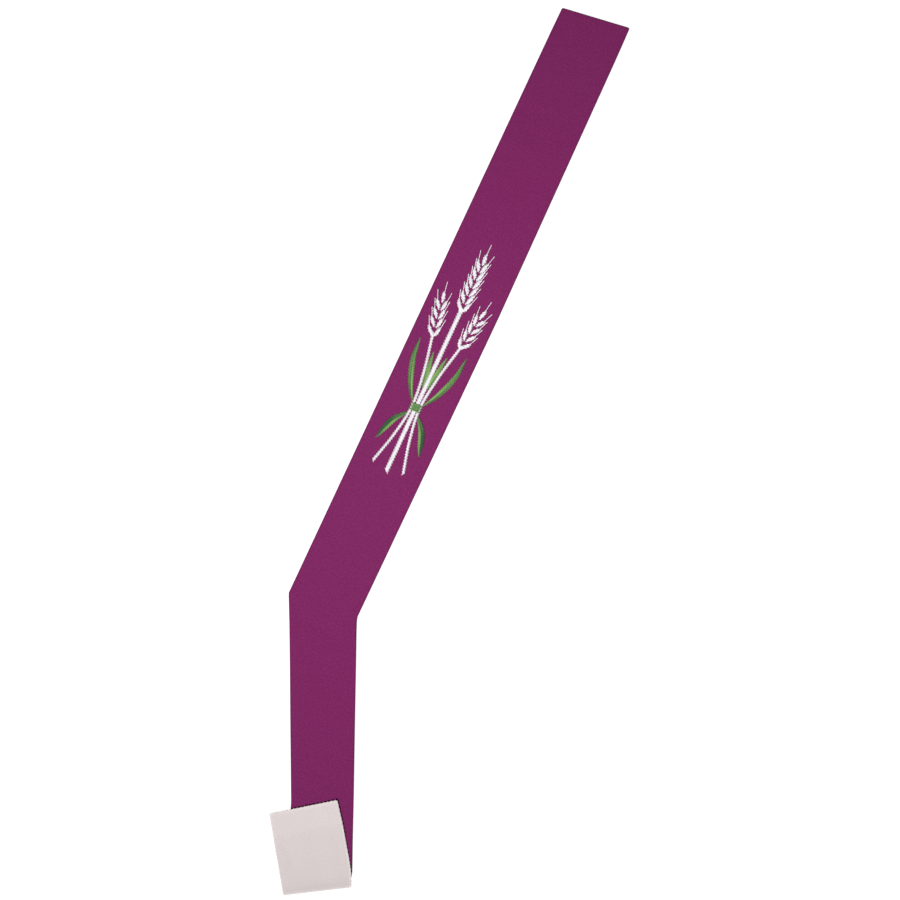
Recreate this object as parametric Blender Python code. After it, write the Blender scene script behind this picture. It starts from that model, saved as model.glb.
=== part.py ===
"""A deacon's stole laid flat, with its front end folded up so that the lining shows.

Metres, +Z up. The stole lies on the plane z = 0 and the origin is under the middle of its outline.
Two halves lie on each other, joined by a seam at the shoulder. The front half is a face and a lining,
and it carries the folded end. Every piece is a thin wall lofted through rows that cross the strip.
"""

import math
from collections import namedtuple

import bmesh
import bpy
from mathutils import Vector

# Thickness of each piece of cloth, and the gap that neighbours keep.
BACK_WALL = 0.0012
LINING_WALL = 0.0010
FACE_WALL = 0.0012
PIECE_GAP = 0.0003

# The stack from the surface up: back panel, front lining, front face.
BACK_LOW = 0.0
BACK_HIGH = BACK_LOW + BACK_WALL
LINING_LOW = BACK_HIGH + PIECE_GAP
LINING_HIGH = LINING_LOW + LINING_WALL
FACE_LOW = LINING_HIGH + PIECE_GAP
FACE_HIGH = FACE_LOW + FACE_WALL

# The turned-up end goes round an axis in the middle of the room left between its two runs.
FOLD_ROOM = 0.0010
FOLD_AXIS = FACE_HIGH + FOLD_ROOM / 2
FOLD_STEPS = 12

# At the shoulder, face and back curl towards each other and meet half way up, at the seam.
FACE_CURL_AXIS = (FACE_HIGH + PIECE_GAP) / 2
BACK_CURL_AXIS = (FACE_HIGH - PIECE_GAP) / 2
CURL_STEPS = 4
LINING_SHOULDER_INSET = 0.0003

# The rolled fold bulges above the folded end, which sinks behind it until it lies on the front. The
# free end is a little higher.
BULGE = 0.0007
SETTLE_DEPTH = 0.00138
SETTLE_REACH = 0.0060
SETTLE_POWER = 1.3
SETTLE_ROWS = 5
END_RISE = 0.0010
RISE_LENGTH = 0.1155

# The lining's end hem is turned in, so that the cloth is double there.
HEM_RISE = 0.0005
HEM_STEP = 0.0012
FACE_END_INSET = 0.0006
BACK_END_INSET = 0.0012

# The loft: distance between rows along the strip, points round an edge and columns across.
ROW_STEP = 0.025
EDGE_STEPS = 4
COLUMNS = 4
END_ANGLES = (90, 55, 20)

# A section crosses the strip. x and y place its middle, and slope turns it from +X, in degrees.
Section = namedtuple("Section", "x y width slope")

# The front, from the line where the shoulder curl begins to the line where the fold begins. Its
# right edge is drawn in just before the fold.
FRONT_SECTIONS = (
    Section(0.1973, 0.5842, 0.0956, -16.7),
    Section(0.1812, 0.5488, 0.0959, -25.0),
    Section(0.0205, 0.2000, 0.0999, -25.0),
    Section(-0.1324, -0.1257, 0.0985, -25.0),
    Section(-0.1710, -0.2078, 0.0984, -20.2),
    Section(-0.1708, -0.2361, 0.0917, -7.7),
    Section(-0.1708, -0.2834, 0.0896, -2.6),
    Section(-0.1712, -0.3623, 0.0875, 0.0),
    Section(-0.1715, -0.4690, 0.0847, 1.8),
    Section(-0.1734, -0.5277, 0.0861, 4.5),
    Section(-0.1764, -0.5728, 0.0911, 6.1),
    Section(-0.1779, -0.5790, 0.0904, 6.4),
    Section(-0.1786, -0.5906, 0.0924, 6.7),
)

# The folded end as it lies on the front, from the fold to the hem line.
FLAP_SECTIONS = (
    Section(-0.1786, -0.5906, 0.0924, 6.7),
    Section(-0.1803, -0.5723, 0.0957, 7.2),
    Section(-0.1831, -0.5544, 0.0962, 6.0),
    Section(-0.1861, -0.5382, 0.0959, 7.6),
    Section(-0.1910, -0.5105, 0.0955, 12.5),
)
END_SECTION = Section(-0.1972, -0.4791, 0.0939, 11.6)

# Linear colour, roughness.
PURPLE = (0.209, 0.024, 0.120)
DARK_PURPLE = (0.150, 0.017, 0.086)
CREAM = (0.701, 0.638, 0.638)
CLOTH_ROUGHNESS = 0.75
LINING_ROUGHNESS = 0.6

# A row of the loft, between two points in plan, left and right. It is bent by the angle turn about
# a level line at the height axis, towards out. full is the share of the wall's thickness that it
# has, rise is added to the wall's low side, and lift raises the whole row.
Row = namedtuple("Row", "left right out axis turn full rise lift")


def clear_scene():
    for item in list(bpy.data.objects):
        bpy.data.objects.remove(item, do_unlink=True)


def cloth_material(name, colour, roughness):
    material = bpy.data.materials.new(name)
    material.use_nodes = True
    shader = material.node_tree.nodes["Principled BSDF"]
    shader.inputs["Base Color"].default_value = (*colour, 1.0)
    shader.inputs["Roughness"].default_value = roughness
    shader.inputs["Metallic"].default_value = 0.0
    return material


def ends_of(section):
    """The two ends of a section, in plan."""
    slope = math.radians(section.slope)
    half = Vector((math.cos(slope), math.sin(slope))) * section.width / 2
    middle = Vector((section.x, section.y))
    return middle - half, middle + half


def uphill(section):
    """The direction in plan that is square to a section, towards +Y."""
    slope = math.radians(section.slope)
    return Vector((-math.sin(slope), math.cos(slope)))


def flap_lift(ends):
    """How far a row of the folded end is raised, by its distance from the fold."""
    fold = FRONT_SECTIONS[-1]
    middle = (ends[0] + ends[1]) / 2
    distance = max(0.0, (middle - Vector((fold.x, fold.y))).dot(uphill(fold)))
    settled = 1.0 - math.exp(-((distance / SETTLE_REACH) ** SETTLE_POWER))
    return BULGE + END_RISE * (distance / RISE_LENGTH) ** 2 - SETTLE_DEPTH * settled


def make_row(
    ends, turn=0.0, out=Vector((0.0, 0.0)), axis=FOLD_AXIS, full=1.0, rise=0.0, lift=0.0
):
    return Row(ends[0], ends[1], out, axis, turn, full, rise, lift)


def between(first, second, share):
    """The ends of a row part of the way from one pair of ends to another."""
    return first[0].lerp(second[0], share), first[1].lerp(second[1], share)


def length_between(first, second):
    return ((first[0] + first[1]) / 2 - (second[0] + second[1]) / 2).length


def strip_ends(sections):
    """Row ends through a run of sections, no further apart than ROW_STEP."""
    stations = [ends_of(section) for section in sections]
    found = [stations[0]]
    for first, second in zip(stations, stations[1:]):
        steps = math.ceil(length_between(first, second) / ROW_STEP)
        found += [between(first, second, step / steps) for step in range(1, steps + 1)]
    return found


def closing_rows(before, last, wall, inset, turn, rise=0.0):
    """Rows that round off a wall's free end, which stops inset short of the last pair of ends."""
    length = length_between(before, last)
    rows = []
    for degrees in END_ANGLES:
        angle = math.radians(degrees)
        back_off = inset + wall / 2 * (1 - math.cos(angle))
        ends = between(before, last, 1 - back_off / length)
        lift = flap_lift(ends) if turn == math.pi else 0.0
        rows.append(make_row(ends, turn=turn, full=math.sin(angle), rise=rise, lift=lift))
    return rows


def shoulder_curl(axis):
    """Rows that bring a piece round the shoulder edge, from the seam to the flat."""
    section = FRONT_SECTIONS[0]
    out = uphill(section)
    return [
        make_row(ends_of(section), turn=math.radians(90) * step / CURL_STEPS, out=out, axis=axis)
        for step in range(CURL_STEPS, -1, -1)
    ]


def fold_rows():
    """Rows round the fold, after the flat run and before the flap."""
    section = FRONT_SECTIONS[-1]
    out = -uphill(section)
    rows = []
    for step in range(1, FOLD_STEPS):
        turn = math.pi * step / FOLD_STEPS
        lift = BULGE * (1 - math.cos(turn)) / 2
        rows.append(make_row(ends_of(section), turn=turn, out=out, lift=lift))
    return rows


def flap_rows():
    """Rows from the fold to the hem line, closer together where the flap sinks."""
    stations = strip_ends(FLAP_SECTIONS)
    shares = [step / SETTLE_ROWS for step in range(1, SETTLE_ROWS)]
    sinking = [between(stations[0], stations[1], share) for share in shares]
    ends = [stations[0], *sinking, *stations[1:]]
    return [make_row(pair, turn=math.pi, lift=flap_lift(pair)) for pair in ends]


def front_rows():
    """The front's flat rows, past the first, which the shoulder makes for itself."""
    return [make_row(ends) for ends in strip_ends(FRONT_SECTIONS)[1:]]


def wall_profile(width, low, high, full):
    """The closed outline of a wall's cut, as (distance across, height), with round edges."""
    half = (high - low) / 2
    middle = (high + low) / 2
    inner = width - 2 * half
    columns = [half + inner * column / COLUMNS for column in range(1, COLUMNS)]
    angles = [math.pi * (0.5 - step / EDGE_STEPS) for step in range(EDGE_STEPS + 1)]
    outline = [(across, middle + half * full) for across in columns]
    outline += [
        (width - half + half * math.cos(angle), middle + half * full * math.sin(angle))
        for angle in angles
    ]
    outline += [(across, middle - half * full) for across in reversed(columns)]
    outline += [
        (half - half * math.cos(angle), middle - half * full * math.sin(angle))
        for angle in angles
    ]
    return outline


def place(row, across, height):
    """A point of a row, across its width and at a height on the flat, turned about its axis."""
    width = (row.right - row.left).length
    arm = height - row.axis
    plan = row.left.lerp(row.right, across / width)
    plan = plan + row.out * abs(arm) * math.sin(row.turn)
    return Vector((plan.x, plan.y, row.axis + arm * math.cos(row.turn) + row.lift))


def wall_ring(row, low, high):
    width = (row.right - row.left).length
    return [
        place(row, across, height)
        for across, height in wall_profile(width, low - row.rise, high, row.full)
    ]


def add_end_cap(mesh, ring):
    """Closes a ring with quads between its top and its bottom run."""
    count = len(ring)
    first = COLUMNS - 1 + EDGE_STEPS // 2
    for step in range(count // 2):
        corners = (first + step, first + step + 1, first - step - 1, first - step)
        verts = [ring[corner % count] for corner in corners]
        mesh.faces.new(list(dict.fromkeys(verts)))


def add_wall(name, rows, low, high, material):
    """One closed wall through all its rows."""
    mesh = bmesh.new()
    rings = [[mesh.verts.new(point) for point in wall_ring(row, low, high)] for row in rows]
    for ring, following in zip(rings, rings[1:]):
        for here in range(len(ring)):
            after = (here + 1) % len(ring)
            mesh.faces.new((ring[here], ring[after], following[after], following[here]))
    add_end_cap(mesh, rings[0])
    add_end_cap(mesh, rings[-1])
    bmesh.ops.recalc_face_normals(mesh, faces=mesh.faces)

    data = bpy.data.meshes.new(name)
    mesh.to_mesh(data)
    mesh.free()
    data.shade_smooth()
    data.set_sharp_from_angle(angle=math.radians(50))
    data.materials.append(material)
    piece = bpy.data.objects.new(name, data)
    bpy.context.scene.collection.objects.link(piece)
    return piece


def add_back_panel(material):
    """The back half's outer cloth, flat on the surface, with a plain hem inside the fold line."""
    flat = front_rows()
    before, last = flat[-2], flat[-1]
    end = closing_rows(before[:2], last[:2], BACK_WALL, BACK_END_INSET, turn=0.0)
    rows = shoulder_curl(BACK_CURL_AXIS) + flat[:-1] + end
    return add_wall("back_panel", rows, BACK_LOW, BACK_HIGH, material)


def add_front_lining(material):
    """The lining, from inside the shoulder, round the outside of the fold and over the flap."""
    flat = front_rows()
    shoulder = ends_of(FRONT_SECTIONS[0])
    start = closing_rows(flat[0][:2], shoulder, LINING_WALL, LINING_SHOULDER_INSET, turn=0.0)
    rows = start[::-1] + flat + fold_rows() + flap_rows()

    hem_line = ends_of(FLAP_SECTIONS[-1])
    free_end = ends_of(END_SECTION)
    share = HEM_STEP / length_between(hem_line, free_end)
    doubled = between(hem_line, free_end, share)
    rows.append(make_row(doubled, turn=math.pi, rise=HEM_RISE, lift=flap_lift(doubled)))
    wall = LINING_WALL + HEM_RISE
    rows += closing_rows(hem_line, free_end, wall, 0.0, turn=math.pi, rise=HEM_RISE)
    return add_wall("front_lining", rows, LINING_LOW, LINING_HIGH, material)


def add_front_face(material):
    """The face, from the shoulder seam to the free end, round the inside of the fold."""
    rows = shoulder_curl(FACE_CURL_AXIS) + front_rows() + fold_rows() + flap_rows()
    hem_line = ends_of(FLAP_SECTIONS[-1])
    free_end = ends_of(END_SECTION)
    rows += closing_rows(hem_line, free_end, FACE_WALL, FACE_END_INSET, turn=math.pi)
    return add_wall("front_face", rows, FACE_LOW, FACE_HIGH, material)


def main():
    clear_scene()
    add_back_panel(cloth_material("back_cloth", DARK_PURPLE, CLOTH_ROUGHNESS))
    add_front_lining(cloth_material("cream_lining", CREAM, LINING_ROUGHNESS))
    add_front_face(cloth_material("purple_cloth", PURPLE, CLOTH_ROUGHNESS))


main()
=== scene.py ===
"""The looks of a deacon's stole laid flat: cloth, seams and hem, embroidery, light and camera.

Metres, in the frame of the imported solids. The stole lies on z = 0, with the shoulder end towards
+Y.
"""

import math
import random
from collections import namedtuple

import bmesh
import bpy
import numpy as np
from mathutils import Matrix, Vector, noise
from mathutils.bvhtree import BVHTree
from mathutils.kdtree import KDTree


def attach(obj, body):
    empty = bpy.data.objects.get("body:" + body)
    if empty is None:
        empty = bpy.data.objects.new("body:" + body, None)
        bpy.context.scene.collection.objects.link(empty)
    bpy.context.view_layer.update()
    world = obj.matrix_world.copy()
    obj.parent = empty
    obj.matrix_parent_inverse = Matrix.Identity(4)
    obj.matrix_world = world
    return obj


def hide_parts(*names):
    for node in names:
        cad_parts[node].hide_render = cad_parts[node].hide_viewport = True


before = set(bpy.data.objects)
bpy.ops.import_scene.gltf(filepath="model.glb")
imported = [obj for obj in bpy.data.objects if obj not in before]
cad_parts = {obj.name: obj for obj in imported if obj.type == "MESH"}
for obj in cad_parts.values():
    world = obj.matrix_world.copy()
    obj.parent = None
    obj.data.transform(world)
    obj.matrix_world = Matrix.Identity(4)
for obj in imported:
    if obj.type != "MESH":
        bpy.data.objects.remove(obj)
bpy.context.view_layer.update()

# ---------------------------------------------------------------- sizes of the cut

# A section crosses the strip: its middle in plan, its width and its slope from +X in degrees.
Section = namedtuple("Section", "x y width slope")

FRONT_SECTIONS = (
    Section(0.1973, 0.5842, 0.0956, -16.7),
    Section(0.1812, 0.5488, 0.0959, -25.0),
    Section(0.0205, 0.2000, 0.0999, -25.0),
    Section(-0.1324, -0.1257, 0.0985, -25.0),
    Section(-0.1710, -0.2078, 0.0984, -20.2),
    Section(-0.1708, -0.2361, 0.0917, -7.7),
    Section(-0.1708, -0.2834, 0.0896, -2.6),
    Section(-0.1712, -0.3623, 0.0875, 0.0),
    Section(-0.1715, -0.4690, 0.0847, 1.8),
    Section(-0.1734, -0.5277, 0.0861, 4.5),
    Section(-0.1764, -0.5728, 0.0911, 6.1),
    Section(-0.1779, -0.5790, 0.0904, 6.4),
    Section(-0.1786, -0.5906, 0.0924, 6.7),
)
FLAP_SECTIONS = (
    Section(-0.1786, -0.5906, 0.0924, 6.7),
    Section(-0.1803, -0.5723, 0.0957, 7.2),
    Section(-0.1831, -0.5544, 0.0962, 6.0),
    Section(-0.1861, -0.5382, 0.0959, 7.6),
    Section(-0.1907, -0.5119, 0.0956, 9.2),
    Section(-0.1972, -0.4791, 0.0939, 11.6),
)

# Heights of the solids on the flat, and the axis that the turned-up end goes round.
FACE_HIGH = 0.0040
FOLD_AXIS = 0.0045
SHOULDER_REACH = 0.00185

GRAIN = math.radians(25.0)
FLAP_LENGTH = 0.1155

# The end hem's line, by its distance from the free end along the middle of the strip, for its left
# and its right end; how much the doubled cloth rises and lightens; and how softly both begin.
HEM_LEFT = 0.0349
HEM_RIGHT = 0.0295
HEM_RISE = 0.00020
HEM_TONE = 0.105
HEM_RISE_SOFT = 0.0010
HEM_TONE_SOFT = 0.0007

# How far in the rims' other tone reaches, which is painted shade on the purple's turned edges and,
# with the doubled cloth, a painted highlight on the lining's rim; how much of it the lining's left
# rim has; and how deep, and how far out, the face sinks by the motif's stitches.
RIM_REACH = 0.0016
RIM_LEFT = 0.5
PUCKER_DEPTH = 0.00014
PUCKER_REACH = 0.0055

# The rolled fold bulges above the turned-up end, which sinks behind it. The free end is a little
# higher.
BULGE = 0.0007
SETTLE_DEPTH = 0.00138
SETTLE_REACH = 0.0050
SETTLE_POWER = 1.3
END_RISE = 0.0010

# A layer of cloth: the height of its middle on the flat, its thickness, the radius and direction
# of the turn at its side seams, and the radius of its turn at the shoulder.
Layer = namedtuple("Layer", "height thickness seam_turn seam_way shoulder_turn")
FACE = Layer(0.00352, 0.0008, 0.00068, -1, 0.00128)
LINING = Layer(0.00182, 0.0005, 0.00058, 1, 0.0)
BACK = Layer(0.00040, 0.0008, 0.00055, 1, 0.00138)

# Steps in a turned edge and in the fold. The flat begins FLAT_START past a turned edge: a few near
# columns, then even ones from INNER_COLUMN past those. A layer that isn't turned at the shoulder
# begins UNTURNED_INSET in. RIM_BEVEL is a share of the thickness.
TURN_STEPS = 5
FOLD_STEPS = 18
FLAT_START = 0.0008
NEAR_COLUMNS = (FLAT_START, 0.0022, 0.0042, 0.0068)
INNER_COLUMN = 0.003
UNTURNED_INSET = 0.0022
RIM_BEVEL = 0.22

# How far from the corners of the cut their rounding begins. It is more than any layer's turn.
CORNER = 0.0021

# Where the points of a sheet lie: in plan, on the cut, in from the nearer side seam and from the
# right one, from either end, and how far they have gone round the fold.
Spots = namedtuple("Spots", "plan cut side right run to_end turn")

# A soft crease: its middle in plan, the angle of its line from +X in degrees, its half length and
# half width, and its height, which is negative for a trough.
Crease = namedtuple("Crease", "x y angle reach width height")
FACE_CREASES = (
    Crease(0.1763, 0.5219, -10, 0.025, 0.008, -0.00021),
    Crease(0.1115, 0.4585, -16, 0.040, 0.007, -0.00027),
    Crease(0.1088, 0.4072, -21, 0.038, 0.010, 0.00028),
    Crease(0.0791, 0.3775, -25, 0.022, 0.006, -0.00020),
    Crease(0.1317, 0.3505, -60, 0.016, 0.007, -0.00027),
    Crease(0.0507, 0.3235, 65, 0.014, 0.004, -0.00014),
    Crease(-0.1545, -0.1261, 80, 0.017, 0.008, -0.00036),
    Crease(-0.1410, -0.1666, 40, 0.020, 0.009, 0.00037),
    Crease(-0.1747, -0.2381, -30, 0.032, 0.008, -0.00048),
    Crease(-0.1680, -0.2705, -5, 0.022, 0.008, 0.00041),
    Crease(-0.1815, -0.3029, 6, 0.026, 0.006, -0.00038),
    Crease(-0.1720, -0.3313, -8, 0.020, 0.007, 0.00030),
    Crease(-0.1504, -0.3421, 75, 0.018, 0.006, -0.00027),
    Crease(-0.1680, -0.4096, -5, 0.026, 0.009, -0.00034),
)
LINING_CREASES = (
    Crease(-0.2135, -0.5500, -75, 0.024, 0.005, -0.00024),
    Crease(-0.1948, -0.4880, 10, 0.010, 0.005, 0.00018),
    Crease(-0.1693, -0.4850, 15, 0.008, 0.005, 0.00018),
    Crease(-0.1500, -0.5380, -80, 0.015, 0.004, -0.00018),
    Crease(-0.1828, -0.5740, 6, 0.012, 0.004, -0.00015),
)

# Seeded unevenness of the cloth: the size of its features, its height and its seed.
Unevenness = namedtuple("Unevenness", "size height seed")
LONG_WAVES = Unevenness(0.085, 0.00024, 1)
SHORT_WAVES = Unevenness(0.030, 0.00013, 2)
FACE_PUCKERS = Unevenness(0.0065, 0.00009, 3)
LINING_SLACK = Unevenness(0.030, 0.00030, 5)
LINING_PUCKERS = Unevenness(0.0075, 0.00014, 6)

# Puckers run across the seam, so their distance from it counts less, and they fade out inwards.
PUCKER_STRETCH = 0.4
FACE_PUCKER_FADE = 0.005
LINING_PUCKER_FADE = 0.006

# The seam allowance under the face lifts it a little, and ends between these distances in.
ALLOWANCE_RISE = 0.00010
ALLOWANCE_EDGE = (0.0105, 0.0125)

# All unevenness starts at the outline and is full this far in.
RIM_FADE = 0.0015
SHOULDER_FADE = 0.003


# ---------------------------------------------------------------- helpers

def active_piece(name):
    piece = bpy.context.active_object
    piece.name = name
    piece.data.name = name
    return piece


def apply_modifiers(piece):
    bpy.ops.object.select_all(action="DESELECT")
    piece.select_set(True)
    bpy.context.view_layer.objects.active = piece
    for modifier in list(piece.modifiers):
        bpy.ops.object.modifier_apply(modifier=modifier.name)


def smoothstep(low, high, value):
    share = np.clip((value - low) / (high - low), 0.0, 1.0)
    return share * share * (3 - 2 * share)


def soft_noise(points, size, seed):
    """Smooth noise from -1 to 1 at each point, with features about size across."""
    shift = Vector((seed * 13.7, seed * 5.1, seed * 3.3))
    return np.array([noise.noise(Vector((*point, 0.0)) / size + shift) for point in points])


def uneven(points, unevenness):
    """The height of seeded unevenness at each of an array of points on the cut."""
    flat = points.reshape(-1, 2)
    height = unevenness.height * soft_noise(flat, unevenness.size, unevenness.seed)
    return height.reshape(points.shape[:-1])


def seam_puckers(spots, puckers, fade):
    """Small puckers along the side seams, drawn out across them, which fade inwards."""
    by_seam = np.stack([spots.run, spots.side * PUCKER_STRETCH], axis=-1)
    return uneven(by_seam, puckers) * np.exp(-spots.side / fade)


# ---------------------------------------------------------------- the strip

def ends_of(section):
    slope = math.radians(section.slope)
    half = np.array([math.cos(slope), math.sin(slope)]) * section.width / 2
    middle = np.array([section.x, section.y])
    return np.array([middle - half, middle + half])


def uphill(section):
    slope = math.radians(section.slope)
    return np.array([-math.sin(slope), math.cos(slope)])


SHOULDER_OUT = uphill(FRONT_SECTIONS[0])
FOLD_OUT = -uphill(FRONT_SECTIONS[-1])
FOLD_MIDDLE = ends_of(FRONT_SECTIONS[-1]).mean(axis=0)
BEFORE_END, END_MIDDLE = [ends_of(section).mean(axis=0) for section in FLAP_SECTIONS[-2:]]
END_INWARD = (BEFORE_END - END_MIDDLE) / np.linalg.norm(BEFORE_END - END_MIDDLE)


def chain(stations, step, start=0.0, stop=0.0):
    """Ends of rows through the stations, step apart. The first row is start past the first
    station, and the last one is stop before the last."""
    middles = np.array([(left + right) / 2 for left, right in stations])
    lengths = np.linalg.norm(np.diff(middles, axis=0), axis=1)
    at = np.concatenate([[0.0], np.cumsum(lengths)])
    count = max(2, round((at[-1] - start - stop) / step) + 1)
    runs = np.linspace(start, at[-1] - stop, count)
    flat = np.array(stations).reshape(len(stations), 4)
    ends = np.stack([np.interp(runs, at, column) for column in flat.T], axis=1)
    return runs, ends.reshape(-1, 2, 2)


def edge_distances(layer, radius):
    """Distances in from the outline at which a turned edge has its rows, from the rim inwards."""
    half = layer.thickness / 2
    angles = [math.pi / 2 * (1 - step / TURN_STEPS) for step in range(TURN_STEPS + 1)]
    return [half + radius * (1 - math.sin(angle)) for angle in angles]


def turned(distance, layer, radius):
    """How far a turned edge has left the flat, by its distance in from the outline."""
    if radius == 0.0:
        return np.zeros_like(distance)
    inside = np.clip(radius - (distance - layer.thickness / 2), 0.0, radius)
    return radius - np.sqrt(radius * radius - inside * inside)


def cloth_rows(layer, step, to_flap, end_inset=0.0):
    """The rows of a layer, each with its ends in plan, its turn about the fold and its distance
    from the shoulder, and the distance from the shoulder to the layer's other end."""
    shoulder = ends_of(FRONT_SECTIONS[0])
    edge = shoulder + SHOULDER_OUT * SHOULDER_REACH
    stations = [edge] + [ends_of(section) for section in FRONT_SECTIONS]
    first = [UNTURNED_INSET]
    if layer.shoulder_turn:
        first = edge_distances(layer, layer.shoulder_turn)
    stop = 0.0 if to_flap else end_inset
    runs, ends = chain(stations, step, start=first[-1] + FLAT_START, stop=stop)
    from_edge = [chain(stations, 1.0, start=distance, stop=0.0)[1][0] for distance in first]
    rows = [(pair, 0.0, distance) for pair, distance in zip(from_edge, first)]
    rows += [(pair, 0.0, run) for pair, run in zip(ends, runs)]
    if not to_flap:
        return rows, runs[-1] + layer.thickness
    base = ends[-1]
    run = runs[-1]
    radius = FOLD_AXIS - layer.height
    for index in range(1, FOLD_STEPS):
        turn = math.pi * index / FOLD_STEPS
        rows.append((base, turn, run + radius * turn))
    run += radius * math.pi
    flap = [ends_of(section) for section in FLAP_SECTIONS]
    last = edge_distances(layer, layer.seam_turn)[::-1]
    last = [distance + end_inset for distance in last]
    runs, ends = chain(flap, step, stop=last[0] + FLAT_START)
    rows += [(pair, math.pi, run + distance) for pair, distance in zip(ends, runs)]
    length = chain(flap, 1.0)[0][-1]
    for distance in last:
        pair = chain(flap, 1.0, stop=distance)[1][-1]
        rows.append((pair, math.pi, run + length - distance))
    return rows, run + length - end_inset


def cloth_columns(layer, columns):
    """A column's place across the strip: metres from the left edge plus a share of the width."""
    near = edge_distances(layer, layer.seam_turn)
    near += [near[-1] + extra for extra in NEAR_COLUMNS]
    inner = near[-1] + INNER_COLUMN
    left = [(distance, 0.0) for distance in near]
    right = [(-distance, 1.0) for distance in reversed(near)]
    shares = [index / (columns - 1) for index in range(columns)]
    middle = [(inner * (1 - 2 * share), share) for share in shares]
    return np.array(left + middle + right)


def flap_lift(height_up):
    """How far the turned-up end lies above an even turn, by its distance from the fold."""
    height_up = np.maximum(height_up, 0.0)
    settled = 1.0 - np.exp(-(height_up / SETTLE_REACH) ** SETTLE_POWER)
    return BULGE + END_RISE * (height_up / FLAP_LENGTH) ** 2 - SETTLE_DEPTH * settled


def folded(plan, height, turn):
    """Points of the flat strip, at their heights, carried round the fold by the angle turn."""
    arm = height - FOLD_AXIS
    level = FOLD_AXIS + arm * np.cos(turn)
    up_flap = np.where(turn >= math.pi, (FOLD_MIDDLE - plan) @ FOLD_OUT, 0.0)
    level = level + np.where(turn >= math.pi, flap_lift(up_flap), BULGE * (1 - np.cos(turn)) / 2)
    spot = plan + (np.abs(arm) * np.sin(turn))[..., None] * FOLD_OUT
    return np.concatenate([spot, level[..., None]], axis=-1)


def cut_pattern(plan, turn, layer):
    """Where points were on the cut, before the fold, in metres along and across the grain."""
    radius = FOLD_AXIS - layer.height
    up_flap = (FOLD_MIDDLE - plan) @ FOLD_OUT
    unfolded = np.where(turn >= math.pi, 2 * up_flap + math.pi * radius, radius * turn)
    cut = plan + unfolded[..., None] * FOLD_OUT
    grain = np.array([[math.cos(GRAIN), -math.sin(GRAIN)], [math.sin(GRAIN), math.cos(GRAIN)]])
    return cut @ grain.T


def round_corner(side, end, layer, end_turn):
    """Rounds the cut where a side seam meets an end, so that the turned edges don't meet in a
    mitre. Gives which points are by the corner, how far they move in from the side and from the
    end, and how far they have left the flat."""
    half = layer.thickness / 2
    by_side = np.clip(CORNER - (side - half), 0.0, CORNER)
    by_end = np.clip(CORNER - (end - half), 0.0, CORNER)
    inside = (by_side > 0.0) & (by_end > 0.0)
    most = np.where(inside, np.maximum(by_side, by_end), CORNER)
    quarter = np.where(by_side >= by_end, by_end / most, 2.0 - by_side / most) / 2
    angle = quarter * math.pi / 2
    off_side = np.where(inside, by_side - most * np.cos(angle), 0.0)
    off_end = np.where(inside, by_end - most * np.sin(angle), 0.0)
    radius = layer.seam_turn + (end_turn - layer.seam_turn) * quarter
    bend = np.clip(radius - (CORNER - most), 0.0, radius)
    return inside, off_side, off_end, radius - np.sqrt(radius * radius - bend * bend)


def lay_cloth(name, layer, step, columns, to_flap, relief, tone, end_inset=0.0):
    """A sheet on the strip's form, with turned edges and, for its material, a tone from 0 to 1
    at each point."""
    rows, full_run = cloth_rows(layer, step, to_flap, end_inset)
    places = cloth_columns(layer, columns)
    bpy.ops.object.select_all(action="DESELECT")
    bpy.ops.mesh.primitive_grid_add(
        x_subdivisions=len(places) - 1, y_subdivisions=len(rows) - 1, size=1.0
    )
    piece = active_piece(name)

    left = np.array([pair[0] for pair, _, _ in rows])[:, None, :]
    right = np.array([pair[1] for pair, _, _ in rows])[:, None, :]
    turn = np.array([angle for _, angle, _ in rows])[:, None]
    run = np.array([distance for _, _, distance in rows])[:, None]
    width = np.linalg.norm(right - left, axis=2)
    across = places[None, :, 0] + places[None, :, 1] * width
    plan = left + (right - left) * (across / width)[:, :, None]
    right_side = width - across
    side = np.minimum(across, right_side)
    run = run + np.zeros_like(across)
    turn = turn + np.zeros_like(across)

    seam = turned(side, layer, layer.seam_turn)
    if to_flap:
        seam = np.maximum(seam, turned(full_run - run, layer, layer.seam_turn))
    shoulder = turned(run, layer, layer.shoulder_turn)
    drop = np.maximum(seam, shoulder)
    from_side = (right - left) / width[:, :, None]
    from_side = np.where((across <= right_side)[:, :, None], from_side, -from_side)
    turned_ends = []
    if layer.shoulder_turn:
        turned_ends.append((run, layer.shoulder_turn, -SHOULDER_OUT))
    if to_flap:
        turned_ends.append((full_run - run, layer.seam_turn, END_INWARD))
    for end, end_turn, inward in turned_ends:
        inside, off_side, off_end, corner_drop = round_corner(side, end, layer, end_turn)
        plan = plan + from_side * off_side[:, :, None] + inward * off_end[:, :, None]
        drop = np.where(inside, corner_drop, drop)
    drop = layer.seam_way * drop
    pattern = cut_pattern(plan, turn, layer)
    spots = Spots(plan, pattern, side, right_side, run, full_run - run, turn)
    points = folded(plan, layer.height + drop + relief(spots), turn)

    grid = np.empty(len(piece.data.vertices) * 3)
    piece.data.vertices.foreach_get("co", grid)
    grid = grid.reshape(-1, 3)
    column = np.rint((grid[:, 0] + 0.5) * (len(places) - 1)).astype(int)
    row = len(rows) - 1 - np.rint((grid[:, 1] + 0.5) * (len(rows) - 1)).astype(int)
    piece.data.vertices.foreach_set("co", points[row, column].ravel())

    for old in list(piece.data.uv_layers):
        piece.data.uv_layers.remove(old)
    uv = piece.data.uv_layers.new(name="cut")
    corner = np.empty(len(piece.data.loops), int)
    piece.data.loops.foreach_get("vertex_index", corner)
    uv.uv.foreach_set("vector", pattern[row, column][corner].ravel())
    tones = piece.data.attributes.new("tone", "FLOAT", "CORNER")
    tones.data.foreach_set("value", tone(spots)[row, column][corner])
    piece.data.update()
    return piece


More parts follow.
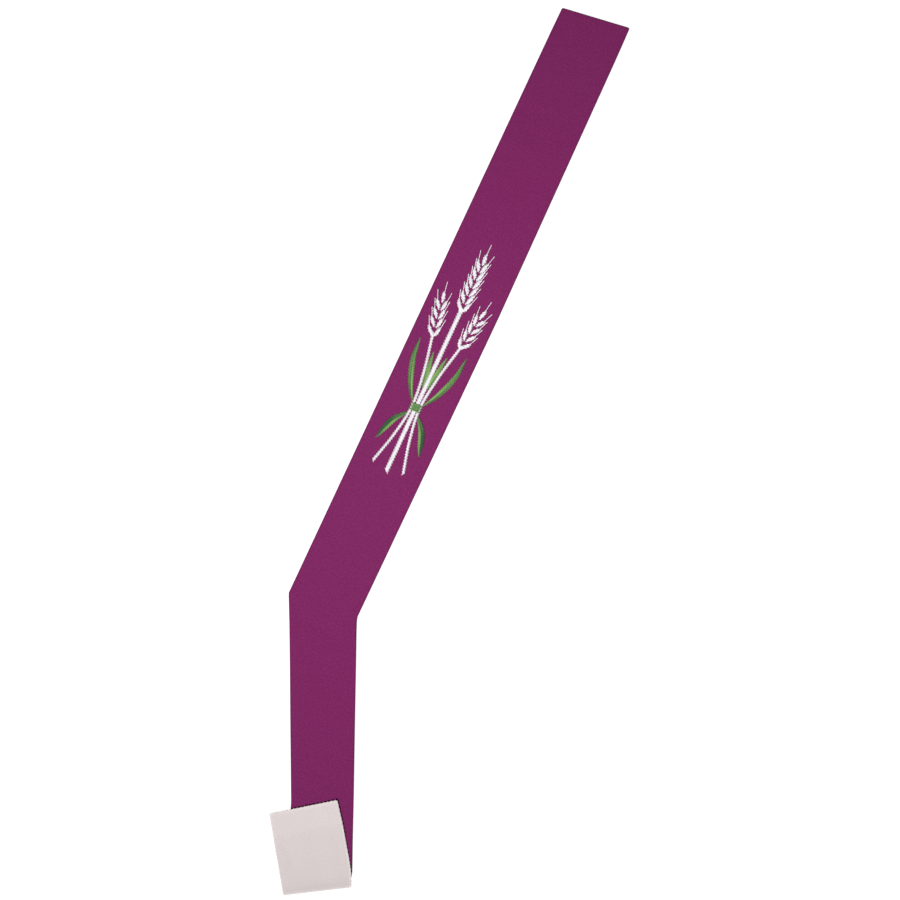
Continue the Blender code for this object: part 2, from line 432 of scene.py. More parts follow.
def thicken(piece, layer):
    wall = piece.modifiers.new("wall", "SOLIDIFY")
    wall.thickness = layer.thickness
    wall.offset = 0.0
    wall.use_even_offset = True
    wall.use_rim = True
    rim = piece.modifiers.new("rim", "BEVEL")
    rim.width = layer.thickness * RIM_BEVEL
    rim.segments = 2
    rim.limit_method = "ANGLE"
    rim.angle_limit = math.radians(60)
    apply_modifiers(piece)
    piece.data.shade_smooth()


def flat_relief(spots):
    return np.zeros_like(spots.side)


def crease_relief(plan, creases):
    """The listed creases, each a soft trough or ridge that fades out at its ends."""
    height = np.zeros(plan.shape[:-1])
    for crease in creases:
        angle = math.radians(crease.angle)
        line = np.array([math.cos(angle), math.sin(angle)])
        away = plan - np.array([crease.x, crease.y])
        along = away @ line / crease.reach
        across = away @ np.array([-line[1], line[0]]) / crease.width
        height += crease.height * np.exp(-across ** 2 - along ** 4)
    return height


def face_relief(spots):
    """Creases, slow waves, the seam allowance, and puckers by seams and stitches."""
    waves = uneven(spots.cut, LONG_WAVES) + uneven(spots.cut, SHORT_WAVES)
    puckers = seam_puckers(spots, FACE_PUCKERS, FACE_PUCKER_FADE)
    allowance = ALLOWANCE_RISE * (1 - smoothstep(*ALLOWANCE_EDGE, spots.side))
    on_top = np.cos(spots.turn) > 0
    near_rim = smoothstep(0.0, RIM_FADE, spots.side) * smoothstep(0.0, SHOULDER_FADE, spots.run)
    relief = waves + puckers + allowance + crease_relief(spots.plan, FACE_CREASES)
    relief = relief - PUCKER_DEPTH * np.exp(-(stitch_distance(spots.plan) / PUCKER_REACH) ** 2)
    return np.where(on_top, relief * near_rim, 0.0)


def hem_ends():
    """The ends in plan of the line that the lining's end hem reaches to."""
    flap = [ends_of(section) for section in FLAP_SECTIONS]
    left = chain(flap, 1.0, stop=HEM_LEFT)[1][-1][0]
    right = chain(flap, 1.0, stop=HEM_RIGHT)[1][-1][1]
    return left, right


def in_hem(spots, soft):
    """From 1 in the doubled end hem to 0 past its line, over a width of soft to either side."""
    left, right = hem_ends()
    way = (right - left) / np.linalg.norm(right - left)
    past = (spots.plan - left) @ np.array([-way[1], way[0]])
    return np.where(spots.turn >= math.pi, smoothstep(-soft, soft, past), 0.0)


def lining_relief(spots):
    """The doubled end hem, slack, creases and puckered seams. Outwards is down here."""
    slack = uneven(spots.cut, LINING_SLACK)
    puckers = seam_puckers(spots, LINING_PUCKERS, LINING_PUCKER_FADE)
    hem = HEM_RISE * in_hem(spots, HEM_RISE_SOFT)
    creases = crease_relief(spots.plan, LINING_CREASES)
    near_rim = smoothstep(0.0, RIM_FADE, spots.side) * smoothstep(0.0, RIM_FADE, spots.to_end)
    on_flap = np.clip((spots.turn / math.pi - 0.5) * 2, 0.0, 1.0)
    return -on_flap * (slack + puckers + hem + creases) * near_rim


def painted_edge_shade(spots):
    """Painted shade: the turned edges, at the side seams and the shoulder, are a little darker."""
    return 1.0 - np.exp(-(np.minimum(spots.side, spots.run) / RIM_REACH) ** 2)


def lining_doubling_and_rim_highlight(spots):
    """Doubled cloth is lighter: the end hem, and most of all the rim, less so on the left. The
    rim's lightness is partly its doubled seam allowance and partly a painted highlight.
    """
    rim = np.exp(-(np.minimum(spots.right, spots.to_end) / RIM_REACH) ** 2)
    rim = np.maximum(rim, RIM_LEFT * np.exp(-(spots.side / RIM_REACH) ** 2))
    hem = HEM_TONE * in_hem(spots, HEM_TONE_SOFT)
    return hem + (1.0 - hem) * rim


# ---------------------------------------------------------------- materials

# Scales of the noise that shades the threads, across and along them, and the slubs; and the
# shades at which the cloth has its dark and its light colour.
ACROSS_THREADS = 2200.0
ALONG_THREADS = 60.0
SLUBS = 430.0
DARK_AT, LIGHT_AT = 0.38, 0.62

WEAVE_BUMP = 0.6
TWIST_BUMP = 0.5
TWIST_DEPTH = 0.0001


def node_group(name, inputs, outputs):
    group = bpy.data.node_groups.new(name, "ShaderNodeTree")
    for label, kind, value in inputs:
        socket = group.interface.new_socket(label, in_out="INPUT", socket_type=kind)
        if value is not None:
            socket.default_value = value
    for label, kind in outputs:
        group.interface.new_socket(label, in_out="OUTPUT", socket_type=kind)
    return group, group.nodes.new("NodeGroupInput"), group.nodes.new("NodeGroupOutput")


def math_node(tree, operation, first, second=None):
    node = tree.nodes.new("ShaderNodeMath")
    node.operation = operation
    for socket, value in zip(node.inputs, (first, second)):
        if value is None:
            continue
        if isinstance(value, (int, float)):
            socket.default_value = value
        else:
            tree.links.new(value, socket)
    return node.outputs[0]


def weave_group():
    """Plain weave on a map in metres: a height from 0 to 1, and a shade for uneven threads."""
    group, start, end = node_group(
        "plain weave",
        [("Map", "NodeSocketVector", None), ("Thread", "NodeSocketFloat", 0.0005)],
        [("Height", "NodeSocketFloat"), ("Shade", "NodeSocketFloat")],
    )
    split = group.nodes.new("ShaderNodeSeparateXYZ")
    group.links.new(start.outputs["Map"], split.inputs[0])
    waves = []
    for axis in ("X", "Y"):
        steps = math_node(group, "DIVIDE", split.outputs[axis], start.outputs["Thread"])
        waves.append(math_node(group, "SINE", math_node(group, "MULTIPLY", steps, math.pi)))
    cross = math_node(group, "MULTIPLY", *waves)
    height = math_node(group, "MULTIPLY_ADD", cross, 0.5)
    height.node.inputs[2].default_value = 0.5
    group.links.new(height, end.inputs["Height"])

    shades = []
    for stretch in (
        (ACROSS_THREADS, ALONG_THREADS, 1.0),
        (ALONG_THREADS, ACROSS_THREADS, 1.0),
        (SLUBS, SLUBS, 1.0),
    ):
        scaled = group.nodes.new("ShaderNodeVectorMath")
        scaled.operation = "MULTIPLY"
        scaled.inputs[1].default_value = stretch
        group.links.new(start.outputs["Map"], scaled.inputs[0])
        streaks = group.nodes.new("ShaderNodeTexNoise")
        streaks.inputs["Scale"].default_value = 1.0
        streaks.inputs["Detail"].default_value = 2.0
        streaks.inputs["Roughness"].default_value = 0.8
        group.links.new(scaled.outputs[0], streaks.inputs["Vector"])
        shades.append(streaks.outputs["Fac"])
    threads = math_node(group, "MULTIPLY", math_node(group, "ADD", *shades[:2]), 0.25)
    slubs = math_node(group, "MULTIPLY", shades[2], 0.5)
    group.links.new(math_node(group, "ADD", threads, slubs), end.inputs["Shade"])
    return group


def start_material(name):
    material = bpy.data.materials.new(name)
    material.use_nodes = True
    tree = material.node_tree
    return material, tree, tree.nodes["Principled BSDF"]


def place_group(tree, group, **values):
    node = tree.nodes.new("ShaderNodeGroup")
    node.node_tree = group
    for label, value in values.items():
        node.inputs[label].default_value = value
    return node


def cloth_map(tree):
    node = tree.nodes.new("ShaderNodeUVMap")
    node.uv_map = "cut"
    return node.outputs["UV"]


def shade_ramp(tree, factor, stops):
    ramp = tree.nodes.new("ShaderNodeValToRGB")
    elements = ramp.color_ramp.elements
    while len(elements) < len(stops):
        elements.new(0.5)
    for element, (position, colour) in zip(elements, stops):
        element.position = position
        element.color = (*colour, 1.0)
    tree.links.new(factor, ramp.inputs["Fac"])
    return ramp.outputs["Color"]


def by_attribute(tree, name):
    node = tree.nodes.new("ShaderNodeAttribute")
    node.attribute_name = name
    return node.outputs["Fac"]


def woven_cloth(name, weave, dark, light, tones, thread, depth, roughness, gloss, sheen):
    """Cloth between two colours, scaled from the first to the second of tones by its tone."""
    material, tree, shader = start_material(name)
    woven = place_group(tree, weave, Thread=thread)
    tree.links.new(cloth_map(tree), woven.inputs["Map"])
    colour = shade_ramp(tree, woven.outputs["Shade"], ((DARK_AT, dark), (LIGHT_AT, light)))
    tone = shade_ramp(tree, by_attribute(tree, "tone"), ((0.0, tones[0]), (1.0, tones[1])))
    toned = tree.nodes.new("ShaderNodeMix")
    toned.data_type = "RGBA"
    toned.blend_type = "MULTIPLY"
    toned.inputs["Factor"].default_value = 1.0
    tree.links.new(colour, toned.inputs["A"])
    tree.links.new(tone, toned.inputs["B"])
    tree.links.new(toned.outputs["Result"], shader.inputs["Base Color"])
    bump = tree.nodes.new("ShaderNodeBump")
    bump.inputs["Strength"].default_value = WEAVE_BUMP
    bump.inputs["Distance"].default_value = depth
    tree.links.new(woven.outputs["Height"], bump.inputs["Height"])
    tree.links.new(bump.outputs["Normal"], shader.inputs["Normal"])
    shader.inputs["Roughness"].default_value = roughness
    shader.inputs["Specular IOR Level"].default_value = gloss
    shader.inputs["Sheen Weight"].default_value = sheen
    shader.inputs["Sheen Roughness"].default_value = 0.5
    return material


# ---------------------------------------------------------------- thread

THREAD_SIDES = 6
THREAD_CUTS = 5
THREAD_TAPER = 0.45
TWIST_LENGTH = 0.0011

draw = random.Random(12)


def model_thread():
    """One stitch as modelled: a rounded thread along X, 1 long and 1 thick."""
    bpy.ops.object.select_all(action="DESELECT")
    bpy.ops.mesh.primitive_cylinder_add(
        vertices=THREAD_SIDES, radius=0.5, depth=1.0, rotation=(0.0, math.pi / 2, 0.0)
    )
    piece = active_piece("stitch")
    bpy.ops.object.transform_apply(location=True, rotation=True, scale=True)
    bpy.ops.object.mode_set(mode="EDIT")
    bpy.ops.mesh.select_all(action="DESELECT")
    shape = bmesh.from_edit_mesh(piece.data)
    for edge in shape.edges:
        edge.select_set(abs(edge.verts[0].co.x - edge.verts[1].co.x) > 0.5)
    bmesh.update_edit_mesh(piece.data)
    bpy.ops.mesh.subdivide(number_cuts=THREAD_CUTS)
    bpy.ops.object.mode_set(mode="OBJECT")
    points = np.array([vert.co[:] for vert in piece.data.vertices])
    faces = [list(face.vertices) for face in piece.data.polygons]
    bpy.data.meshes.remove(piece.data)
    points[:, 1:] *= 1.0 - THREAD_TAPER * (2 * np.abs(points[:, :1])) ** 4
    return points, faces


def lay_threads(name, paths, sides, width, shades, material):
    """Copies of the modelled thread joined in one piece, each along its own path of points."""
    shape, faces = model_thread()
    paths = np.array(paths)
    rings = np.rint((shape[:, 0] + 0.5) * (THREAD_CUTS + 1)).astype(int)
    ahead = np.gradient(paths, axis=1)
    ahead /= np.linalg.norm(ahead, axis=2)[:, :, None]
    sides = np.array(sides)[:, None, :] + np.zeros_like(paths)
    above = np.cross(ahead, sides)
    above /= np.linalg.norm(above, axis=2)[:, :, None]
    points = paths[:, rings]
    points = points + sides[:, rings] * (shape[:, 1] * width)[None, :, None]
    points = points + above[:, rings] * (shape[:, 2] * width)[None, :, None]

    count = len(shape)
    mesh = bpy.data.meshes.new(name)
    copies = range(len(paths))
    joined = [[corner + count * copy for corner in face] for copy in copies for face in faces]
    mesh.from_pydata(points.reshape(-1, 3).tolist(), [], joined)
    mesh.shade_smooth()

    shade = mesh.attributes.new("shade", "FLOAT", "POINT")
    shade.data.foreach_set("value", np.repeat(shades, count))
    lengths = np.linalg.norm(np.diff(paths, axis=1), axis=2)
    run = np.concatenate([np.zeros((len(paths), 1)), np.cumsum(lengths, axis=1)], axis=1)
    around = np.arctan2(shape[:, 2], shape[:, 1]) / (2 * math.pi)
    turns = run[:, rings] / TWIST_LENGTH + around[None, :]
    twist = mesh.attributes.new("twist", "FLOAT", "POINT")
    twist.data.foreach_set("value", turns.ravel())

    mesh.materials.append(material)
    piece = bpy.data.objects.new(name, mesh)
    bpy.context.scene.collection.objects.link(piece)
    return piece


# ---------------------------------------------------------------- embroidery

# Places on the motif are (along, across) in metres from its middle, towards the shoulder and to
# the right of the strip.
MOTIF_MIDDLE = np.array([-0.0125, 0.1300])
MOTIF_ALONG = np.array([math.sin(GRAIN), math.cos(GRAIN)])
MOTIF_ACROSS = np.array([math.cos(GRAIN), -math.sin(GRAIN)])

SATIN_PITCH = 0.00132
SATIN_THREAD = 0.00108
SATIN_LEAN = -0.84
BUNDLE = 3
BUNDLE_REACH = 0.00052
BUNDLE_LIFT = 0.00024
STITCH_SINK = 0.00030
CROWN_MOST = 0.00085
CROWN_LEAST = 0.00022
CROWN_SHARE = 0.10

# Painted highlight and shade: how much lighter a bundle's longest, raised stitch is and darker its
# lower ones; and how much any stitch's shade may vary at random.
BAND_SWING_PAINTED_LIGHT, BAND_SPREAD = 0.20, 0.06
LEAF_SWING_PAINTED_LIGHT, LEAF_SPREAD = 0.1, 0.08

# A leaf: the powers that set where it is broadest and how full it is, its least half width, how
# far its stitches cross the rib and lean to the tip, and how its shade varies.
LEAF_BROADEST, LEAF_FULLNESS = 0.85, 0.8
LEAF_LEAST = 0.0004
RIB_OVERLAP = 0.0003
LEAF_LEAN = 0.75
LEAF_HALF_SHADE = 0.25
LEAF_WAVE_SHADE, LEAF_WAVES = 0.22, 5.0

# A grain: its least share of the full width, the part of a sine it follows, its fullness, and how
# much darker its ends get.
GRAIN_LEAST = 0.12
GRAIN_FROM, GRAIN_SPAN = 0.06, 0.88
GRAIN_FULLNESS = 0.9
GRAIN_END_SHADE = 0.25

# A line one thread wide: the pitch of its stitches, how far each reaches on, and its lift.
LINE_PITCH = 0.0034
LINE_BACK, LINE_ON = 0.0005, 0.0003
LINE_LIFT = 0.0001

# An ear: the lean of its lowest grains in degrees and how much less it is at the top, how many
# widths out the grains start, and how much of their lean the beards add. The rest are shares of a
# grain's length.
EAR_LEAN, EAR_CLOSING = 27, 7
GRAIN_OUT = 0.28
BEARD_LEAN = 0.62
BEARD_START, BEARD_LENGTH = 0.93, 0.95
TIP_GRAIN_BACK, TIP_BEARD_START = 0.1, 0.85

STEM_WIDTH = 0.0062
SIDE_STEM_WIDTH = 0.0040
TIE_AT = -0.078
TIE_LENGTH = 0.0095
TIE_WIDTH = 0.0178

# A stitch: where it comes up and goes down on the motif, how much higher it lies, and its shade.
Stitch = namedtuple("Stitch", "start end lift shade")


def smooth_path(knots, step):
    """Points a step apart on a smooth curve through the knots, with the direction at each."""
    knots = np.array(knots)
    padded = np.vstack([2 * knots[0] - knots[1], knots, 2 * knots[-1] - knots[-2]])
    curve = []
    for index in range(1, len(padded) - 2):
        before, here, after, beyond = padded[index - 1:index + 3]
        for share in np.linspace(0.0, 1.0, 24, endpoint=False):
            curve.append(
                0.5 * (2 * here + (after - before) * share
                       + (2 * before - 5 * here + 4 * after - beyond) * share ** 2
                       + (3 * here - before - 3 * after + beyond) * share ** 3)
            )
    curve = np.array(curve + [knots[-1]])
    at = np.concatenate([[0.0], np.cumsum(np.linalg.norm(np.diff(curve, axis=0), axis=1))])
    spots = np.linspace(0.0, at[-1], max(2, round(at[-1] / step) + 1))
    points = np.stack([np.interp(spots, at, curve[:, axis]) for axis in (0, 1)], axis=1)
    direction = np.gradient(points, axis=0)
    direction /= np.linalg.norm(direction, axis=1)[:, None]
    return points, direction


def bundle_swing(index):
    """From 1 for the longest stitch of a bundle to -0.5 for the others."""
    return math.cos(2 * math.pi * index / BUNDLE)


def satin_band(knots, width_at, shade_at, lean=SATIN_LEAN, lift=0.0):
    """A band of stitches side by side across a path."""
    points, direction = smooth_path(knots, SATIN_PITCH)
    stitches = []
    for index, (spot, ahead) in enumerate(zip(points, direction)):
        share = index / (len(points) - 1)
        swing = bundle_swing(index)
        half = width_at(share) / 2 + BUNDLE_REACH * swing
        beside = np.array([-ahead[1], ahead[0]])
        reach = beside * half + ahead * lean * half
        # Painted highlight on the bundle's raised longest stitch, painted shade on its lower ones.
        shade = shade_at(share) + BAND_SWING_PAINTED_LIGHT * swing
        shade += draw.uniform(-BAND_SPREAD, BAND_SPREAD)
        stitches.append(Stitch(spot - reach, spot + reach, lift + BUNDLE_LIFT * swing, shade))
    return stitches


def satin_leaf(knots, width, light_side, shade):
    """A leaf in two halves: stitches fan from the rib to either edge, leaning to the tip."""
    points, direction = smooth_path(knots, SATIN_PITCH)
    stitches = []
    for side in (-1, 1):
        tone = shade + (LEAF_HALF_SHADE if side == light_side else -LEAF_HALF_SHADE)
        for index, (spot, ahead) in enumerate(zip(points, direction)):
            share = index / (len(points) - 1)
            swing = bundle_swing(index)
            fullness = math.sin(math.pi * share ** LEAF_BROADEST) ** LEAF_FULLNESS
            half = width / 2 * fullness + LEAF_LEAST
            half += BUNDLE_REACH * swing * math.sin(math.pi * share)
            beside = side * np.array([-ahead[1], ahead[0]])
            start = spot - beside * RIB_OVERLAP
            end = spot + beside * half + ahead * half * LEAF_LEAN
            blend = tone + LEAF_WAVE_SHADE * math.sin(LEAF_WAVES * share + side)
            blend += draw.uniform(-LEAF_SPREAD, LEAF_SPREAD)
            # Painted highlight on the bundle's raised longest stitch, painted shade on its lower
            # ones.
            blend += LEAF_SWING_PAINTED_LIGHT * swing
            stitches.append(Stitch(start, end, BUNDLE_LIFT * swing, blend))
    return stitches


def satin_grain(foot, heading, length, width, shade):
    """One grain of wheat: a lens of stitches that starts at its foot and points along heading."""
    ahead = np.array([math.cos(heading), math.sin(heading)])
    foot = np.array(foot)
    knots = [foot, foot + ahead * length / 2, foot + ahead * length]

    def width_at(share):
        swell = math.sin(math.pi * (GRAIN_FROM + GRAIN_SPAN * share)) ** GRAIN_FULLNESS
        return width * max(GRAIN_LEAST, swell)

    return satin_band(knots, width_at, lambda share: shade - GRAIN_END_SHADE * abs(share - 0.5))


def running_line(knots, shade=0.55):
    """A line one thread wide, in stitches that each start a little before the last one ends."""
    points, direction = smooth_path(knots, LINE_PITCH)
    return [
        Stitch(here - ahead * LINE_BACK, there + ahead * LINE_ON, LINE_LIFT, shade)
        for here, there, ahead in zip(points, points[1:], direction)
    ]


def mirrored(stitches):
    flip = np.array([1.0, -1.0])
    return [
        stitch._replace(start=stitch.start * flip, end=stitch.end * flip) for stitch in stitches
    ]


def wheat_ear(base, top, pairs, length, width):
    """An ear from base to top: pairs of grains that lean out and one at the tip, with beards."""
    base, top = np.array(base), np.array(top)
    axis = top - base
    heading = math.atan2(axis[1], axis[0])
    ahead = axis / np.linalg.norm(axis)
    beside = np.array([-ahead[1], ahead[0]])
    stitches = []
    for pair in range(pairs):
        share = pair / pairs
        foot = base + axis * share
        for side in (-1, 1):
            lean = side * math.radians(EAR_LEAN - EAR_CLOSING * share)
            start = foot + beside * side * width * GRAIN_OUT
            stitches += satin_grain(start, heading + lean, length, width, 0.62)
            grain_way = np.array([math.cos(heading + lean), math.sin(heading + lean)])
            beard_heading = heading + lean * BEARD_LEAN
            beard_way = np.array([math.cos(beard_heading), math.sin(beard_heading)])
            tip = start + grain_way * length * BEARD_START
            stitches += running_line([tip, tip + beard_way * length * BEARD_LENGTH])
    foot = top - ahead * length * TIP_GRAIN_BACK
    stitches += satin_grain(foot, heading, length, width, 0.7)
    tip = top + ahead * length * TIP_BEARD_START
    stitches += running_line([tip, tip + ahead * length])
    return stitches


def wheat_motif():
    """White and green stitches of a tied sheaf: three ears of wheat with leaves."""
    stem = [(-0.172, 0.0), (-0.05, 0.0), (0.070, 0.0)]
    white = satin_band(stem, lambda share: STEM_WIDTH, lambda share: 0.6)
    side = [
        (-0.166, -0.0225), (-0.122, -0.0115), (TIE_AT, -0.0056), (-0.03, -0.0105), (0.024, -0.0215)
    ]
    left_white = satin_band(side, lambda share: SIDE_STEM_WIDTH, lambda share: 0.5)
    left_white += wheat_ear((0.020, -0.0208), (0.068, -0.0285), 4, 0.0145, 0.0058)
    white += left_white + mirrored(left_white)
    white += wheat_ear((0.066, 0.0), (0.136, 0.0), 6, 0.0155, 0.0062)

    blade = [(-0.072, -0.0085), (-0.048, -0.0215), (-0.018, -0.0315), (0.010, -0.0345)]
    left_green = satin_leaf(blade, 0.0074, 1, 0.48)
    low_blade = [(-0.087, -0.0075), (-0.106, -0.0215), (-0.136, -0.0320)]
    left_green += satin_leaf(low_blade, 0.0080, -1, 0.28)
    inner_blade = [(-0.050, -0.0035), (-0.026, -0.0062), (0.000, -0.0100)]
    left_green += satin_leaf(inner_blade, 0.0052, 1, 0.74)
    green = left_green + mirrored(left_green)
    tie = [(TIE_AT - TIE_LENGTH / 2, 0.0), (TIE_AT + TIE_LENGTH / 2, 0.0)]
    green += satin_band(tie, lambda share: TIE_WIDTH, lambda share: 0.5, lean=0.0, lift=0.0011)
    return white, green


def on_cloth(tree, plan):
    """The point of the cloth's upper side at a place in plan."""
    return np.array(tree.ray_cast(Vector((*plan, 0.05)), Vector((0.0, 0.0, -1.0)))[0])


def sew(name, stitches, cloth, width, material, on_motif=True):
    """All stitches of one colour as one piece, each an arch over the cloth."""
    tree = BVHTree.FromObject(cloth, bpy.context.evaluated_depsgraph_get())
    if on_motif:
        to_plan = np.array([MOTIF_ALONG, MOTIF_ACROSS])
        ends = [
            MOTIF_MIDDLE + np.array([stitch.start, stitch.end]) @ to_plan for stitch in stitches
        ]
    else:
        ends = [np.array([stitch.start, stitch.end]) for stitch in stitches]
    paths, sides = [], []
    along = np.linspace(0.0, 1.0, THREAD_CUTS + 2)[:, None]
    arch = 1.0 - np.abs(2 * along - 1.0) ** 3
    for (start, end), stitch in zip(ends, stitches):
        first, last = on_cloth(tree, start), on_cloth(tree, end)
        span = last - first
        crown = min(CROWN_MOST, CROWN_LEAST + CROWN_SHARE * np.linalg.norm(span)) + stitch.lift
        path = first + span * along
        path[:, 2:] += crown * arch - STITCH_SINK * (1.0 - arch)
        paths.append(path)
        beside = np.array([-span[1], span[0], 0.0])
        sides.append(beside / np.linalg.norm(beside))
    shades = [stitch.shade for stitch in stitches]
    return lay_threads(name, paths, sides, width, shades, material)


# ---------------------------------------------------------------- hand sewing

OVERCAST_PITCH = 0.0052
OVERCAST_THREAD = 0.00088
OVERCAST_SLANT = 0.0012
SHOULDER_PITCH = 0.0030
SHOULDER_THREAD = 0.00050
SHOULDER_SLANT = 0.0006
HEM_PITCH = 0.0062
HEM_STITCH = 0.0016
HEM_THREAD = 0.00045
HEM_SPREAD = 0.0008
HEM_SLANT = 0.0005
HEM_PULL = 0.00012

# A stitch over an edge goes through these points: how far in from the outline, and the height on
# the flat strip.
Through = namedtuple("Through", "inset height")
OVERCAST_STITCH = (
    Through(0.00200, 0.00170),
    Through(0.00155, 0.00126),
    Through(0.00080, 0.00118),
    Through(-0.00005, 0.00154),
    Through(-0.00040, 0.00235),
    Through(-0.00036, 0.00290),
    Through(0.00020, 0.00335),
)
SHOULDER_STITCH = (
    Through(0.00040, 0.00295),
    Through(0.00000, 0.00275),
    Through(-0.00014, 0.00240),
    Through(-0.00016, 0.00200),
    Through(-0.00014, 0.00160),
    Through(0.00000, 0.00125),
    Through(0.00040, 0.00105),
)


def edge_paths(spots, inward, turn, stitch, slant):
    """Paths of slanting stitches over an edge at the spots, and the way along the edge."""
    inward = inward / np.linalg.norm(inward, axis=1)[:, None]
    along = np.stack([inward[:, 1], -inward[:, 0]], axis=1)
    insets = np.array([through.inset for through in stitch])
    heights = np.array([through.height for through in stitch])
    shares = np.linspace(-0.5, 0.5, len(stitch))
    plan = spots[:, None] + inward[:, None] * insets[None, :, None]
    plan = plan + along[:, None] * (slant * shares)[None, :, None]
    paths = folded(plan, heights + np.zeros(plan.shape[:2]), turn + np.zeros(plan.shape[:2]))
    return paths, np.concatenate([along, np.zeros((len(along), 1))], axis=1)


def spots_between(first, last, pitch):
    count = int(np.linalg.norm(last - first) / pitch)
    shares = (np.arange(count) + 0.5) / count
    return first + (last - first) * shares[:, None]


def overcast_end(material):
    """Stitches over the edges of the turned-up end, which join the lining to the face."""
    _, pairs = chain([ends_of(section) for section in FLAP_SECTIONS], OVERCAST_PITCH,
                     start=OVERCAST_PITCH, stop=OVERCAST_PITCH / 3)
    across = pairs[:, 1] - pairs[:, 0]
    left, right = ends_of(FLAP_SECTIONS[-1])
    free = spots_between(left, right, OVERCAST_PITCH)
    down = FOLD_MIDDLE - (left + right) / 2 + np.zeros_like(free)
    paths, sides = [], []
    for spots, inward in ((pairs[:, 0], across), (free, down), (pairs[:, 1], -across)):
        found = edge_paths(spots, inward, math.pi, OVERCAST_STITCH, OVERCAST_SLANT)
        paths += list(found[0])
        sides += list(found[1])
    shades = [draw.uniform(0.4, 0.9) for _ in paths]
    return lay_threads("overcast_stitches", paths, sides, OVERCAST_THREAD, shades, material)


def sew_shoulder(material):
    """Stitches between the face and the back at the shoulder, but for its rounded corners."""
    left, right = ends_of(FRONT_SECTIONS[0]) + SHOULDER_OUT * SHOULDER_REACH
    past_corner = (right - left) / np.linalg.norm(right - left) * CORNER
    spots = spots_between(left + past_corner, right - past_corner, SHOULDER_PITCH)
    inward = -SHOULDER_OUT + np.zeros_like(spots)
    paths, sides = edge_paths(spots, inward, 0.0, SHOULDER_STITCH, SHOULDER_SLANT)
    shades = [draw.uniform(0.3, 0.7) for _ in paths]
    return lay_threads("shoulder_stitches", paths, sides, SHOULDER_THREAD, shades, material)


def sew_hem(lining, material):
    """Slip stitches that hold the turned-in end hem of the lining."""
    left, right = hem_ends()
    way = (right - left) / np.linalg.norm(right - left)
    towards_end = np.array([-way[1], way[0]])
    stitches = []
    for spot in spots_between(left, right, HEM_PITCH):
        spot = spot + way * draw.uniform(-HEM_SPREAD, HEM_SPREAD)
        end = spot + way * HEM_STITCH + towards_end * HEM_SLANT
        stitches.append(Stitch(spot, end, -HEM_PULL, draw.uniform(0.3, 0.7)))
    return sew("hem_stitches", stitches, lining, HEM_THREAD, material, on_motif=False)


def thread_material(name, dark, light, roughness):
    """Twisted thread whose colour follows the stitches' shade, from dark to light."""
    material, tree, shader = start_material(name)
    colour = shade_ramp(tree, by_attribute(tree, "shade"), ((0.0, dark), (1.0, light)))
    tree.links.new(colour, shader.inputs["Base Color"])
    turns = math_node(tree, "MULTIPLY", by_attribute(tree, "twist"), 2 * math.pi)
    bump = tree.nodes.new("ShaderNodeBump")
    bump.inputs["Strength"].default_value = TWIST_BUMP
    bump.inputs["Distance"].default_value = TWIST_DEPTH
    tree.links.new(math_node(tree, "SINE", turns), bump.inputs["Height"])
    tree.links.new(bump.outputs["Normal"], shader.inputs["Normal"])
    shader.inputs["Roughness"].default_value = roughness
    shader.inputs["Specular IOR Level"].default_value = 0.4
    return material


def stitch_distance(plan):
    """How far points in plan are from the nearest stitch of the motif."""
    to_plan = np.array([MOTIF_ALONG, MOTIF_ACROSS])
    spots = [stitch.start + (stitch.end - stitch.start) * share
             for stitch in WHITE_STITCHES + GREEN_STITCHES for share in (0.2, 0.8)]
    tree = KDTree(len(spots))
    for index, spot in enumerate(spots):
        tree.insert((*(MOTIF_MIDDLE + spot @ to_plan), 0.0), index)
    tree.balance()
    found = [tree.find((*point, 0.0))[2] for point in plan.reshape(-1, 2)]
    return np.array(found).reshape(plan.shape[:-1])


# ---------------------------------------------------------------- floor, light and camera

VIEW_CENTRE = (0.0008, 0.0022)
VIEW_WIDTH = 1.215
LENS = 100.0
SENSOR = 36.0

FLOOR_SIZE = 12.0
FLOOR_LEVEL = -0.0001
FLOOR_GLOW = 0.95
WORLD_LIGHT = 0.213
SOFTBOX_PLACE = (-1.60, -2.00, 3.68)
SOFTBOX_TARGET = (0.08, 0.18, 0.0)
SOFTBOX_SIZE = 0.3
SOFTBOX_POWER = 10.36
SOFTBOX_SPREAD = 40


def set_camera():
    data = bpy.data.cameras.new("camera")
    data.lens = LENS
    data.sensor_width = SENSOR
    data.sensor_fit = "HORIZONTAL"
    data.clip_end = 100.0
    camera = bpy.data.objects.new("camera", data)
    camera.location = (*VIEW_CENTRE, FACE_HIGH + VIEW_WIDTH * LENS / SENSOR)
    bpy.context.scene.collection.objects.link(camera)
    bpy.context.scene.camera = camera


def set_floor():
    bpy.ops.object.select_all(action="DESELECT")
    bpy.ops.mesh.primitive_plane_add(size=FLOOR_SIZE, location=(0.0, 0.0, FLOOR_LEVEL))
    floor = active_piece("floor")
    material, _, shader = start_material("pale floor")
    shader.inputs["Base Color"].default_value = (0.20, 0.20, 0.20, 1.0)
    shader.inputs["Roughness"].default_value = 0.9
    shader.inputs["Specular IOR Level"].default_value = 0.1
    shader.inputs["Emission Color"].default_value = (1.0, 1.0, 1.0, 1.0)
    shader.inputs["Emission Strength"].default_value = FLOOR_GLOW
    floor.data.materials.append(material)


def add_area_light(name, place, size, power, spread, target):
    data = bpy.data.lights.new(name, "AREA")
    data.shape = "DISK"
    data.spread = math.radians(spread)
    data.size = size
    data.energy = power
    light = bpy.data.objects.new(name, data)
    light.location = place
    light.rotation_euler = (Vector(target) - Vector(place)).to_track_quat("-Z", "Y").to_euler()
    bpy.context.scene.collection.objects.link(light)


